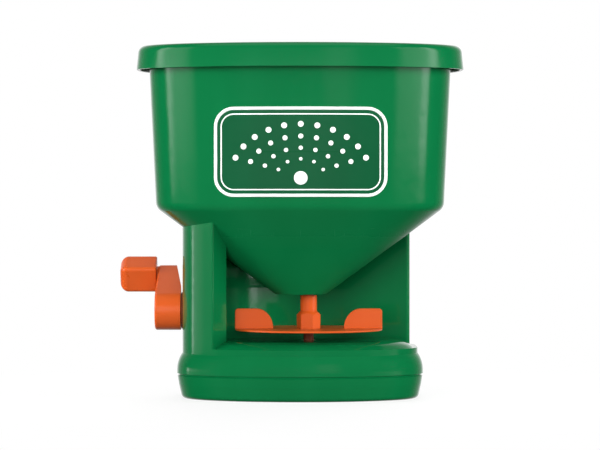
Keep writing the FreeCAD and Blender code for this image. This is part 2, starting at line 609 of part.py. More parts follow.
def make_knob():
    s = knob_profile(14.1, 2.6, -121.8, -102.6)
    s = fillet(s, 1.2, lambda e, p: all(abs(q.x + 102.6) < 0.01 for q in p), "knob inner end")
    s = s.cut(cyl(-130, TIP_Y, TIP_Z, 4.06, 40, (1, 0, 0)))
    s = s.cut(cyl(-130, TIP_Y, TIP_Z, 7.0, 15.2, (1, 0, 0)))
    return solid(s, "knob")


def make_cap():
    s = knob_profile(14.1, 2.6, -128.6, -121.8)
    s = fillet(s, 5.6, lambda e, p: all(abs(q.x + 128.6) < 0.01 for q in p), "cap")
    s = s.fuse(tube(-122.0, TIP_Y, TIP_Z, 7.0, 5.6, 2.6, (1, 0, 0)))
    return solid(s, "cap")


# ---------------------------------------------------------------- handle
def make_handle():
    outer = rounded([(70, H_TOP), (137, H_TOP + 2), (133, H_BOT), (70, H_BOT)],
                    [0, 24, 20, 0])
    inner = rounded([(74.5, 107), (110, 107), (105.5, 29), (74.5, 29)], [0.8, 11, 11, 0.8])
    f = Part.Face(outer)
    s = f.extrude(V(2 * H_HALF, 0, 0))
    g = Part.Face(inner).extrude(V(2 * H_HALF, 0, 0))
    s.translate(V(-H_HALF, 0, 0))
    g.translate(V(-H_HALF, 0, 0))
    s = s.cut(g)
    s = fillet(s, 7.0, lambda e, p: (all(abs(abs(q.x) - H_HALF) < 0.01 for q in p) and
                                     max(q.y for q in p) > 75.5 and min(q.y for q in p) > 69.9), "handle")
    for x, z in HANDLE_SCREWS:
        s = s.cut(cyl(x, 60, z, 2.2, 40, (0, 1, 0)))
    s = s.cut(cyl(0, 60, ROD_Z, 3.4, 20, (0, 1, 0)))
    s = s.cut(cyl(0, 73.05, ROD_Z, 5.2, 6.0, (0, 1, 0)))                    # seat of the return spring
    # its foot is hollowed to sit round the back of the base
    q = HANDLE_GAP
    seat = rounded([(50.0, -5.0), (BASE_YB - 3.6 + q, -5.0), (BASE_YB - 3.6 + q, 0.0), (BASE_YB - 1.3 + q, 10.0),
                    (BASE_YB - 0.15 + q, TRAY_TOP), (BASE_YB + q, TRAY_TOP), (BASE_YB + q, DECK_Z + q), (50.0, DECK_Z + q)],
                   [0, 0, 0, 0, 0, 0, SHOULDER_R + q, 0])
    g = Part.Face(seat).extrude(V(4 * H_HALF, 0, 0))
    g.translate(V(-2 * H_HALF, 0, 0))
    s = s.cut(g)
    return solid(s, "handle")


def make_grip(handle):
    """Soft sleeve round the upright of the handle."""
    zone = box(-30, 96, 40, 30, 150, 97)
    core = solid(handle.common(zone), "grip core")
    try:
        big = core.makeOffsetShape(1.6, 0.01, fill=False)
        big = Part.makeSolid(big) if big.ShapeType != "Solid" else big
    except Exception as ex:
        print("  grip offset", ex)
        big = core
    s = big.common(box(-30, 90, 41.7, 30, 150, 95.3)).cut(handle)
    return solid(s, "grip")


# ---------------------------------------------------------------- flow gate
def make_gate():
    s = box(-6.9, 6.9, NECK_Z + FLOOR_T + 0.1, 6.9, 42.0, NECK_Z + FLOOR_T + 1.7)
    s = fillet(s, 2.0, lambda e, p: abs(p[0].z - p[-1].z) > 1.0 and p[0].y > 30, "gate")
    s = s.cut(cyl(0, 37.0, 60, 1.2, 30))
    return solid(s, "gate")


def make_rod():
    s = cyl(0, 30.5, ROD_Z, ROD_R, 57.0, (0, 1, 0))
    s = s.cut(cyl(0, 37.0, 60, 1.2, 40))
    s = s.cut(cyl(0, 81.0, ROD_Z, 1.25, 12.0, (0, 1, 0)))
    return solid(s, "rod")


def make_trigger():
    pts = []
    # finger recess on the rear face
    for i in range(17):
        z = 58.0 + i * 2.4
        pts.append((94.5 - 2.4 * math.sin(math.pi * i / 16), z))
    poly = [(87.5, 56.0), (92.0, 56.0)] + pts + [(92.0, 98.4), (87.5, 98.4)]
    w = Part.makePolygon([V(-9.0, y, z) for y, z in poly] + [V(-9.0, *poly[0])])
    s = Part.Face(w).extrude(V(18.0, 0, 0))
    s = fillet(s, 1.6, lambda e, p: all(abs(abs(q.x) - 9.0) < 0.01 for q in p), "trigger")
    s = s.fuse(cyl(0, 83.5, ROD_Z, 4.6, 5.0, (0, 1, 0)))
    s = s.cut(cyl(0, 80.0, ROD_Z, ROD_R, 7.5, (0, 1, 0)))
    s = s.cut(cyl(0, 80.0, ROD_Z, 1.25, 30.0, (0, 1, 0)))
    s = s.cut(cyl(0, 91.0, ROD_Z, 3.2, 10.0, (0, 1, 0)))
    return solid(s.removeSplitter(), "trigger")


def screw(x, y, z, r_head, h_head, r, length, d, slot=True):
    """Pan-head screw: head's outer face at (x, y, z), pointing along d."""
    dv = V(*d)
    head = Part.makeCylinder(r_head, h_head, V(0, 0, 0), V(0, 0, 1))
    try:
        head = head.makeFillet(min(h_head, r_head) * 0.45, [e for e in head.Edges if abs(e.CenterOfMass.z) < 1e-6 and len(e.Vertexes) < 2])
    except Exception:
        pass
    s = head.fuse(Part.makeCylinder(r, length, V(0, 0, h_head - 0.01), V(0, 0, 1)))
    if slot:
        k = r_head * 0.62
        w = r_head * 0.17
        s = s.cut(Part.makeBox(2 * k, 2 * w, h_head * 0.55, V(-k, -w, -0.001)))
        s = s.cut(Part.makeBox(2 * w, 2 * k, h_head * 0.55, V(-w, -k, -0.001)))
    rot = FreeCAD.Rotation(V(0, 0, 1), dv)
    s.Placement = FreeCAD.Placement(V(x, y, z), rot)
    return s


def helix_spring(x, y0, y1, z, r, wire, turns):
    h = (y1 - y0) - wire
    hx = Part.makeHelix(h / turns, h, r)
    c = Part.Wire([Part.makeCircle(wire / 2, V(r, 0, 0), V(0, 1, 0))])
    s = Part.Wire(hx.Edges).makePipeShell([c], True, True)
    s.rotate(V(0, 0, 0), V(1, 0, 0), -90)
    s.translate(V(x, y0 + wire / 2, z))
    return s


def main():
    P = {}
    P["hopper"] = make_hopper()
    P["main_housing"] = make_housing()
    P["base_tray"] = make_tray()
    P["lid"] = make_lid()
    P["lid_brackets"] = make_brackets()
    P["bracket_rivets"] = Part.makeCompound([
        solid(cyl(sx * 40.0, 66.5, z, 1.6, 8.2, (0, 1, 0)).fuse(
            Part.makeSphere(3.2, V(sx * 40.0, 73.4, z)).common(box(sx * 40.0 - 5, 74.65, z - 5, sx * 40.0 + 5, 80, z + 5))))
        for sx in (-1, 1) for z in BRACKET_RIVETS_Z])
    P["hinge_pins"] = Part.makeCompound([cyl(sx * 40.0 - 13.5, HINGE_Y, HINGE_Z, HINGE_PIN_R, 27.0, (1, 0, 0))
                                         for sx in (-1, 1)])
    P["spinner"] = make_spinner()
    P["drive_shaft"] = cyl(SPIN_X, SPIN_Y, 7.0, SHAFT_R, 79.0)
    P["spinner_pinion"] = make_pinion()
    P["idler_gear"] = make_idler()
    P["crank_gear"] = make_crown()
    P["idler_axle"] = cyl(IDLER_X, IDLER_Y, 3.5, 3.0, 30.0).cut(tube(IDLER_X, IDLER_Y, 31.4, 4.0, 2.4, 0.9))
    P["idler_clip"] = tube(IDLER_X, IDLER_Y, 31.45, 5.2, 2.4, 0.8).cut(
        box(IDLER_X, IDLER_Y - 1.9, 31, IDLER_X + 8, IDLER_Y + 1.9, 33))
    # bushes
    P["lower_bush"] = tube(SPIN_X, SPIN_Y, 8.0, 5.5, SHAFT_R + 0.06, 11.5).fuse(
        tube(SPIN_X, SPIN_Y, 19.5, 7.0, SHAFT_R + 0.06, 1.5)).removeSplitter()
    P["deck_bush"] = tube(SPIN_X, SPIN_Y, DECK_Z - DECK_T, 5.5, SHAFT_R + 0.06, DECK_T).fuse(
        tube(SPIN_X, SPIN_Y, DECK_Z - DECK_T - 1.5, 7.5, SHAFT_R + 0.06, 1.5)).removeSplitter()
    P["upper_bush"] = tube(SPIN_X, SPIN_Y, NECK_Z + 0.2, 5.5, SHAFT_R + 0.06, 5.4)
    P["crank_bush"] = tube(-82.2, CRANK_Y, CRANK_Z, 7.0, CRANK_SHAFT_R + 0.06, 5.0, (1, 0, 0)).fuse(
        tube(-83.5, CRANK_Y, CRANK_Z, 12.8, CRANK_SHAFT_R + 0.06, 1.3, (1, 0, 0))).removeSplitter()
    xin = pillar_x(CRANK_Y, -WALL)
    cup = cyl(xin - 2.9, CRANK_Y, CRANK_Z, 6.6, 2.9, (1, 0, 0)).cut(
        cyl(xin - 3.5, CRANK_Y, CRANK_Z, CRANK_SHAFT_R + 0.06, 2.9, (1, 0, 0)))
    P["inner_bush"] = solid(cup)
    # crank
    P["crank_arm"] = make_arm()
    sh = cyl(ARM_X0 + 6.0, CRANK_Y, CRANK_Z, CRANK_SHAFT_R, (xin - 0.8) - (ARM_X0 + 6.0), (1, 0, 0))
    sh = sh.cut(cyl(ARM_X0, CRANK_Y, CRANK_Z, 1.7, 24.0, (1, 0, 0)))
    P["crank_shaft"] = solid(sh)
    P["crank_screw"] = solid(screw(ARM_X0 + 0.4, CRANK_Y, CRANK_Z, 4.4, 2.4, 1.7, 18.0, (1, 0, 0)))
    P["crank_washer"] = tube(ARM_X0 + 2.8, CRANK_Y, CRANK_Z, 5.4, 2.1, 0.4, (1, 0, 0))
    ax = screw(-117.6, TIP_Y, TIP_Z, 6.0, 2.6, 4.0, 12.6, (1, 0, 0))
    ax = ax.fuse(cyl(-103.0, TIP_Y, TIP_Z, 2.5, 12.9, (1, 0, 0)))
    P["knob_axle"] = solid(ax.removeSplitter())
    P["crank_knob"] = make_knob()
    P["knob_cap"] = make_cap()
    # agitator
    ag = cyl(SPIN_X, SPIN_Y, 79.0, 6.0, 8.5)
    ag = fillet(ag, 2.0, flat_at(87.5), "agitator")
    ag = ag.fuse(box(SPIN_X - 15.0, -1.6, 79.6, SPIN_X, 1.6, 83.2))
    ag = ag.fuse(box(SPIN_X - 15.0, -1.6, 79.6, SPIN_X - 11.6, 1.6, 88.0))
    ag = ag.fuse(box(SPIN_X, -1.6, 79.6, SPIN_X + 11.0, 1.6, 83.2))
    ag = ag.cut(cyl(SPIN_X, SPIN_Y, 70, SHAFT_R, 16.0))
    P["agitator"] = solid(ag.removeSplitter())
    # handle and gate
    P["handle"] = make_handle()
    P["grip_sleeve"] = make_grip(P["handle"])
    P["gate_plate"] = make_gate()
    P["pull_rod"] = make_rod()
    P["trigger"] = make_trigger()
    P["gate_rivet"] = solid(fuse([cyl(0, 37.0, NECK_Z + FLOOR_T - 0.5, 2.2, 0.6),
                                  cyl(0, 37.0, NECK_Z + FLOOR_T, 1.2, 7.4),
                                  cyl(0, 37.0, ROD_Z + ROD_R, 2.2, 0.7)]))
    P["trigger_screw"] = solid(screw(0, 94.2, ROD_Z, 2.9, 1.9, 1.25, 9.0, (0, -1, 0)))
    P["gate_spring"] = helix_spring(0, 73.2, 83.4, ROD_Z, 4.0, 0.9, 5)
    # fasteners
    P["tray_screws"] = Part.makeCompound([solid(screw(x, y, 1.6, 3.8, 2.4, 1.7, 25.0, (0, 0, 1))) for x, y in TRAY_BOSSES])
    P["hopper_screws"] = Part.makeCompound([solid(screw(x, 61.0, 104.4, 3.6, 2.6, 1.6, 14.5, (0, 0, 1))) for x in (-40.0, 40.0)])
    P["handle_screws"] = Part.makeCompound([solid(screw(x, 77.0, z, 3.9, 2.5, 1.7, 12.0, (0, -1, 0))) for x, z in HANDLE_SCREWS])

    for name in sorted(P):
        s = P[name]
        fmt(s, name)
        bb = s.BoundBox
        print("%-16s solids %d valid %s vol %.1f  X %.1f..%.1f Y %.1f..%.1f Z %.1f..%.1f" % (
            name, len(s.Solids), s.isValid(), s.Volume, bb.XMin, bb.XMax, bb.YMin, bb.YMax, bb.ZMin, bb.ZMax))


main()
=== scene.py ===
import json
import math
import bpy
import bmesh
from mathutils import Matrix, Vector

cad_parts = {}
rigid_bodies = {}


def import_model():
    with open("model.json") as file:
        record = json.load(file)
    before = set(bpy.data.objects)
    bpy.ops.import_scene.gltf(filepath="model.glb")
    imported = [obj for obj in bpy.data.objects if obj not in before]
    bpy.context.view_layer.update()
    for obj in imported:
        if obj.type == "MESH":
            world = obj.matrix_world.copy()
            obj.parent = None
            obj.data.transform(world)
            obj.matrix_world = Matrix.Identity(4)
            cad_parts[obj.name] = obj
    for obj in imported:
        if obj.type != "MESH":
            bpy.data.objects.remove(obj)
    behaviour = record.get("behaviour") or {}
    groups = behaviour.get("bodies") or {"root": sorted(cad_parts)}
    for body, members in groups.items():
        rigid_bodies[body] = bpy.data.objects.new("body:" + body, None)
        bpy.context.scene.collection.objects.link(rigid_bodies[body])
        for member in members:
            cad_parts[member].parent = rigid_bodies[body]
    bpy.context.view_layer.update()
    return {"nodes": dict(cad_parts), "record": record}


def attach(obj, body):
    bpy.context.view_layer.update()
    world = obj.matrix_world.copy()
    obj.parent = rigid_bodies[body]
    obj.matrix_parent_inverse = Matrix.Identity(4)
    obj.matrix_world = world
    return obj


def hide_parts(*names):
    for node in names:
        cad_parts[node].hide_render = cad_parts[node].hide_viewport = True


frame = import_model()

NODES = frame["nodes"]


# ------------------------------------------------------------------ node helpers
def new_mat(name):
    m = bpy.data.materials.new(name)
    m.use_nodes = True
    nt = m.node_tree
    nt.nodes.clear()
    out = nt.nodes.new("ShaderNodeOutputMaterial")
    bsdf = nt.nodes.new("ShaderNodeBsdfPrincipled")
    nt.links.new(bsdf.outputs["BSDF"], out.inputs["Surface"])
    return m, nt, bsdf


def tex_coord(nt, scale=(1, 1, 1)):
    tc = nt.nodes.new("ShaderNodeTexCoord")
    mp = nt.nodes.new("ShaderNodeMapping")
    mp.inputs["Scale"].default_value = scale
    nt.links.new(tc.outputs["Object"], mp.inputs["Vector"])
    return mp.outputs["Vector"]


def noise(nt, vec, scale, detail=4.0, rough=0.5):
    n = nt.nodes.new("ShaderNodeTexNoise")
    n.inputs["Scale"].default_value = scale
    n.inputs["Detail"].default_value = detail
    n.inputs["Roughness"].default_value = rough
    nt.links.new(vec, n.inputs["Vector"])
    return n.outputs["Fac"]


def ramp(nt, fac, stops):
    r = nt.nodes.new("ShaderNodeValToRGB")
    el = r.color_ramp.elements
    while len(el) > 1:
        el.remove(el[-1])
    el[0].position = stops[0][0]
    el[0].color = stops[0][1]
    for p, c in stops[1:]:
        e = el.new(p)
        e.color = c
    nt.links.new(fac, r.inputs["Fac"])
    return r.outputs["Color"]


def maprange(nt, fac, a, b, c, d):
    m = nt.nodes.new("ShaderNodeMapRange")
    m.inputs["From Min"].default_value = a
    m.inputs["From Max"].default_value = b
    m.inputs["To Min"].default_value = c
    m.inputs["To Max"].default_value = d
    nt.links.new(fac, m.inputs["Value"])
    return m.outputs["Result"]


def math_node(nt, op, a, b):
    m = nt.nodes.new("ShaderNodeMath")
    m.operation = op
    for i, v in enumerate((a, b)):
        if isinstance(v, (int, float)):
            m.inputs[i].default_value = v
        else:
            nt.links.new(v, m.inputs[i])
    return m.outputs[0]


def mixrgb(nt, fac, a, b, mode="MIX"):
    m = nt.nodes.new("ShaderNodeMix")
    m.data_type = "RGBA"
    m.blend_type = mode
    for sock, v in ((m.inputs[0], fac), (m.inputs[6], a), (m.inputs[7], b)):
        if isinstance(v, (int, float)):
            sock.default_value = v
        elif isinstance(v, tuple):
            sock.default_value = v
        else:
            nt.links.new(v, sock)
    return m.outputs[2]


def bump(nt, height, strength, dist, bsdf, prev=None):
    b = nt.nodes.new("ShaderNodeBump")
    b.inputs["Strength"].default_value = strength
    b.inputs["Distance"].default_value = dist
    nt.links.new(height, b.inputs["Height"])
    if prev is not None:
        nt.links.new(prev, b.inputs["Normal"])
    nt.links.new(b.outputs["Normal"], bsdf.inputs["Normal"])
    return b.outputs["Normal"]


def edge_wear(nt, lo, hi):
    g = nt.nodes.new("ShaderNodeNewGeometry")
    return maprange(nt, g.outputs["Pointiness"], lo, hi, 0.0, 1.0)


def plastic(name, col, dark, light, rough=0.2, var=0.08, peel=0.012, spec=0.5, coat=0.0, sss=0.0, dull=None, broad=0.10):
    """Moulded gloss plastic: faint flow marks, orange-peel bump, fine handling scratches, duller rubbed edges."""
    m, nt, bsdf = new_mat(name)
    v = tex_coord(nt)
    big = noise(nt, v, 9.0, 3.0, 0.5)
    flow = noise(nt, tex_coord(nt, (1.0, 1.0, 0.25)), 38.0, 3.0, 0.55)
    c = mixrgb(nt, maprange(nt, big, 0.35, 0.65, 0.0, 1.0), dark + (1.0,), col + (1.0,))
    c = mixrgb(nt, maprange(nt, flow, 0.45, 0.75, 0.0, 0.35), c, light + (1.0,))
    wear = edge_wear(nt, 0.52, 0.60)
    c = mixrgb(nt, math_node(nt, "MULTIPLY", wear, 0.25), c, light + (1.0,))
    nt.links.new(c, bsdf.inputs["Base Color"])
    # scratches: stretched fine noise in two directions
    s1 = noise(nt, tex_coord(nt, (900.0, 40.0, 60.0)), 1.0, 2.0, 0.6)
    s2 = noise(nt, tex_coord(nt, (50.0, 60.0, 1100.0)), 1.0, 2.0, 0.6)
    sc = math_node(nt, "MAXIMUM", maprange(nt, s1, 0.66, 0.72, 0.0, 1.0), maprange(nt, s2, 0.67, 0.73, 0.0, 1.0))
    r = maprange(nt, noise(nt, v, 60.0, 5.0, 0.6), 0.3, 0.7, rough - var * 0.5, rough + var * 0.5)
    r = math_node(nt, "ADD", r, math_node(nt, "MULTIPLY", sc, 0.06))
    r = math_node(nt, "ADD", r, math_node(nt, "MULTIPLY", wear, 0.10))
    if dull:
        # the mould was left matt below this height
        sep = nt.nodes.new("ShaderNodeSeparateXYZ")
        nt.links.new(tex_coord(nt), sep.inputs["Vector"])
        r = math_node(nt, "ADD", r, maprange(nt, sep.outputs["Z"], dull[0], dull[1], dull[2], 0.0))
    nt.links.new(r, bsdf.inputs["Roughness"])
    bsdf.inputs["IOR"].default_value = 1.5
    bsdf.inputs["Specular IOR Level"].default_value = spec
    bsdf.inputs["Coat Weight"].default_value = coat
    bsdf.inputs["Coat Roughness"].default_value = 0.08
    if sss > 0:
        bsdf.inputs["Subsurface Weight"].default_value = sss
        bsdf.inputs["Subsurface Radius"].default_value = (0.004, 0.0015, 0.0008)
        bsdf.inputs["Subsurface Scale"].default_value = 1.0
    n1 = bump(nt, noise(nt, v, 420.0, 2.0, 0.5), peel * 10, 0.0001, bsdf)
    bump(nt, noise(nt, v, 45.0, 2.0, 0.5), broad, 0.0006, bsdf, n1)
    return m


def metal(name, col, rough):
    m, nt, bsdf = new_mat(name)
    v = tex_coord(nt)
    n = noise(nt, v, 300.0, 4.0, 0.6)
    c = mixrgb(nt, maprange(nt, n, 0.3, 0.7, 0.0, 1.0), tuple(x * 0.8 for x in col) + (1.0,), col + (1.0,))
    nt.links.new(c, bsdf.inputs["Base Color"])
    bsdf.inputs["Metallic"].default_value = 1.0
    nt.links.new(maprange(nt, noise(nt, v, 900.0, 3.0, 0.6), 0.3, 0.7, rough * 0.7, rough * 1.3), bsdf.inputs["Roughness"])
    bump(nt, noise(nt, tex_coord(nt, (2000.0, 2000.0, 200.0)), 1.0, 2.0, 0.5), 0.15, 0.00005, bsdf)
    return m


def rubber(name, col):
    m, nt, bsdf = new_mat(name)
    v = tex_coord(nt)
    n = noise(nt, v, 120.0, 4.0, 0.6)
    c = mixrgb(nt, maprange(nt, n, 0.3, 0.7, 0.0, 1.0), tuple(x * 0.75 for x in col) + (1.0,), tuple(min(1, x * 1.4) for x in col) + (1.0,))
    nt.links.new(c, bsdf.inputs["Base Color"])
    nt.links.new(maprange(nt, noise(nt, v, 250.0, 3.0, 0.6), 0.3, 0.7, 0.55, 0.75), bsdf.inputs["Roughness"])
    vor = nt.nodes.new("ShaderNodeTexVoronoi")
    vor.inputs["Scale"].default_value = 900.0
    nt.links.new(v, vor.inputs["Vector"])
    bump(nt, vor.outputs["Distance"], 0.35, 0.0002, bsdf)
    return m


GREEN = plastic("green_plastic", (0.0010, 0.108, 0.031), (0.0009, 0.102, 0.029), (0.0030, 0.122, 0.038), rough=0.07, var=0.03)
GREEN_HOPPER = plastic("green_hopper", (0.0010, 0.108, 0.031), (0.0009, 0.102, 0.029), (0.0030, 0.122, 0.038), rough=0.07, var=0.03,
                       dull=(0.095, 0.131, 0.42))
def matt_underside(m, lo, hi):
    """Below this height the part was left with a dry, matt skin that mirrors nothing."""
    nt = m.node_tree
    gloss = [n for n in nt.nodes if n.type == "BSDF_PRINCIPLED"][0]
    out = [n for n in nt.nodes if n.type == "OUTPUT_MATERIAL"][0]
    dry = nt.nodes.new("ShaderNodeBsdfPrincipled")
    nt.links.new(gloss.inputs["Base Color"].links[0].from_socket, dry.inputs["Base Color"])
    nt.links.new(gloss.inputs["Normal"].links[0].from_socket, dry.inputs["Normal"])
    nt.links.new(maprange(nt, noise(nt, tex_coord(nt), 80.0, 3.0, 0.6), 0.3, 0.7, 0.5, 0.6), dry.inputs["Roughness"])
    dry.inputs["IOR"].default_value = 1.5
    dry.inputs["Specular IOR Level"].default_value = 0.08
    sep = nt.nodes.new("ShaderNodeSeparateXYZ")
    nt.links.new(tex_coord(nt), sep.inputs["Vector"])
    mix = nt.nodes.new("ShaderNodeMixShader")
    nt.links.new(maprange(nt, sep.outputs["Z"], lo, hi, 1.0, 0.0), mix.inputs["Fac"])
    nt.links.new(gloss.outputs["BSDF"], mix.inputs[1])
    nt.links.new(dry.outputs["BSDF"], mix.inputs[2])
    nt.links.new(mix.outputs["Shader"], out.inputs["Surface"])


matt_underside(GREEN_HOPPER, 0.104, 0.131)
# painted shade: the spinner's orange is a darker copy of the orange of the other orange parts (0.44 against 0.51),
# standing in for the shade of the cavity it turns in; it is also rougher and less glossy
ORANGE_SPIN_SHADED = plastic("orange_spinner_shaded", (0.440, 0.066, 0.009), (0.410, 0.058, 0.008), (0.490, 0.082, 0.014), rough=0.34, var=0.06, peel=0.003, broad=0.03, spec=0.35)
ORANGE = plastic("orange_plastic", (0.510, 0.076, 0.010), (0.475, 0.067, 0.009), (0.560, 0.094, 0.016), rough=0.28, var=0.06, peel=0.003, broad=0.03)
NYLON = plastic("nylon_plastic", (0.62, 0.58, 0.48), (0.55, 0.51, 0.42), (0.7, 0.66, 0.56), rough=0.45, var=0.1)
# partly painted shade: this dark red-brown, worn by the crank bush, also stands in for the shade in the narrow gap
# between the crank hub and the housing
DARKP_AND_GAP_SHADE = plastic("dark_plastic", (0.16, 0.03, 0.012), (0.13, 0.024, 0.01), (0.2, 0.04, 0.02), rough=0.4, var=0.1)
STEEL = metal("zinc_steel", (0.56, 0.57, 0.58), 0.32)
GRIP = rubber("grip_rubber", (0.022, 0.023, 0.024))
MATS = {"green_plastic": GREEN, "orange_plastic": ORANGE, "gear_plastic": NYLON, "dark_plastic": DARKP_AND_GAP_SHADE,
        "steel": STEEL, "grip_rubber": GRIP}

slot_of = {s["node"]: s["material_slot"] for s in frame["record"]["subparts"]}


def smooth(o, angle=35.0):
    me = o.data
    me.shade_smooth() if hasattr(me, "shade_smooth") else None


for name, o in NODES.items():
    mat = {"hopper": GREEN_HOPPER, "spinner": ORANGE_SPIN_SHADED}.get(name, MATS[slot_of[name]])
    o.data.materials.clear()
    o.data.materials.append(mat)

# ------------------------------------------------------------------ front badge plate
# A plain moulded plate lies on the hopper's front where such spreaders carry a label: a pale rim, a
# recessed field, and a generic "spread evenly" sign of grains fanning out. It carries no lettering.
from mathutils.bvhtree import BVHTree


def hopper_surface():
    o = NODES["hopper"]
    bm = bmesh.new()
    bm.from_mesh(o.data)
    bm.transform(o.matrix_world)
    t = BVHTree.FromBMesh(bm)
    bm.free()
    return t


TREE = hopper_surface()


def on_front(x, z):
    hit, nor, _, _ = TREE.ray_cast(Vector((x, -1.0, z)), Vector((0.0, 1.0, 0.0)))
    if nor.y > 0:
        nor = -nor
    return hit, nor


def front_at(x, z):
    """Point and smoothed outward direction of the hopper's front at that place."""
    p, _ = on_front(x, z)
    e = 0.004
    dx = on_front(x + e, z)[0] - on_front(x - e, z)[0]
    dz = on_front(x, z + e)[0] - on_front(x, z - e)[0]
    n = dx.cross(dz)
    n.normalize()
    if n.y > 0:
        n = -n
    return p, n


PLATE_X, PLATE_Z, PLATE_A, PLATE_B, PLATE_R = 0.0005, 0.1713, 0.0592, 0.0308, 0.0135


def rounded_loop(d):
    """Outline of the plate moved inwards by d: always the same number of points, so that loops can be joined."""
    a, b, r = PLATE_A - d, max(PLATE_B - d, 0.0), max(PLATE_R - d, 0.0)
    r = min(r, b)
    pts = []
    for cx, cz, t0, nseg, ax, az in ((a - r, b - r, 0.0, 12, -1, 0), (-(a - r), b - r, 90.0, 12, 0, -1),
                                     (-(a - r), -(b - r), 180.0, 12, 1, 0), (a - r, -(b - r), 270.0, 12, 0, 1)):
        for i in range(nseg + 1):
            t = math.radians(t0 + 90.0 * i / nseg)
            pts.append((cx + r * math.cos(t), cz + r * math.sin(t)))
        length, n = (2 * (a - r), 40) if ax else (2 * (b - r), 16)
        for i in range(1, n):
            pts.append((pts_last(pts, i)[0] + ax * length / n, pts_last(pts, i)[1] + az * length / n))
    return pts


def pts_last(pts, i):
    return pts[-1]


def object_from(bm, name, mat, smooth_angle=40.0):
    bmesh.ops.remove_doubles(bm, verts=bm.verts, dist=1e-6)
    bmesh.ops.recalc_face_normals(bm, faces=bm.faces)
    me = bpy.data.meshes.new(name)
    bm.to_mesh(me)
    bm.free()
    me.materials.append(mat)
    o = bpy.data.objects.new(name, me)
    bpy.context.scene.collection.objects.link(o)
    me.shade_smooth()
    if hasattr(me, "set_sharp_from_angle"):
        me.set_sharp_from_angle(angle=math.radians(smooth_angle))
    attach(o, "frame_body")
    return o


def plate_strip(name, mat, profile, close_in=False):
    """A closed ring (or a full plate) on the hopper's front from a section of (inset, height) pairs."""
    bm = bmesh.new()
    rows = []
    for d, h in profile:
        row = []
        for x, z in rounded_loop(d):
            p, n = front_at(PLATE_X + x, PLATE_Z + z)
            row.append(bm.verts.new(p + n * h))
        rows.append(row)
    n = len(rows[0])
    loops = list(zip(rows, rows[1:]))
    if not close_in:
        loops.append((rows[-1], rows[0]))
    for r0, r1 in loops:
        for i in range(n):
            j = (i + 1) % n
            if len({r0[i], r0[j], r1[j], r1[i]}) == 4:
                try:
                    bm.faces.new((r0[i], r0[j], r1[j], r1[i]))
                except ValueError:
                    pass
    if close_in:
        # the innermost loop is a thin line: its two sides meet
        bm.faces.new(rows[0])
    return object_from(bm, name, mat)


PALE = plastic("badge_pale", (0.78, 0.80, 0.78), (0.74, 0.76, 0.74), (0.84, 0.85, 0.84), rough=0.30, var=0.08)
FIELD = plastic("badge_field", (0.0012, 0.066, 0.022), (0.0010, 0.060, 0.020), (0.0028, 0.078, 0.028), rough=0.34, var=0.08)

IN = -0.0004
badge_base = plate_strip("badge_plate", FIELD,
                         [(0.0006, IN), (0.0004, 0.0002), (0.0010, 0.0006), (0.0040, 0.0006), (0.0080, 0.0006), (0.0120, 0.0006),
                          (0.0160, 0.0006), (0.0200, 0.0006), (0.0240, 0.0006), (0.0280, 0.0006), (PLATE_B - 0.0001, 0.0006)], True)
badge_rim = plate_strip("badge_rim", PALE, [(0.0000, IN), (0.0000, 0.0006), (0.0002, 0.0010), (0.0006, 0.0012), (0.0016, 0.0012),
                                            (0.0020, 0.0010), (0.0022, 0.0006), (0.0022, IN)])
badge_line = plate_strip("badge_line", PALE, [(0.0046, 0.0003), (0.0046, 0.0008), (0.0048, 0.0009), (0.0052, 0.0009), (0.0054, 0.0008), (0.0054, 0.0003)])


def button(bm, x, z, r, h, sink=0.0003, n=20):
    p, nor = front_at(PLATE_X + x, PLATE_Z + z)
    u = Vector((0, 0, 1)).cross(nor)
    u.normalize()
    w = nor.cross(u)
    prof = [(r, sink), (r, h * 0.75), (r * 0.86, h * 0.95), (r * 0.5, h), (0.0, h * 1.02)]
    rows = []
    for rr, hh in prof:
        if rr == 0.0:
            rows.append([bm.verts.new(p + nor * hh)])
        else:
            rows.append([bm.verts.new(p + nor * hh + (u * math.cos(2 * math.pi * i / n) + w * math.sin(2 * math.pi * i / n)) * rr) for i in range(n)])
    for r0, r1 in zip(rows, rows[1:]):
        for i in range(n):
            j = (i + 1) % n
            if len(r1) == 1:
                bm.faces.new((r0[i], r0[j], r1[0]))
            else:
                bm.faces.new((r0[i], r0[j], r1[j], r1[i]))
    bm.faces.new(list(reversed(rows[0])))


bm = bmesh.new()
SRC_Z = -0.0178
for ring_r, count, rr, spread in ((0.0130, 5, 0.00120, 128.0), (0.0205, 7, 0.00145, 132.0), (0.0285, 9, 0.00170, 134.0), (0.0368, 11, 0.00200, 136.0)):
    for i in range(count):
        t = math.radians(90.0 - spread / 2 + spread * i / (count - 1))
        x, z = ring_r * 1.30 * math.cos(t), SRC_Z + ring_r * math.sin(t)
        button(bm, x, z, rr, 0.0011)
badge_grains = object_from(bm, "badge_grains", PALE)
bm = bmesh.new()
button(bm, 0.0, SRC_Z, 0.0046, 0.0013, n=40)
badge_source = object_from(bm, "badge_source", PALE)

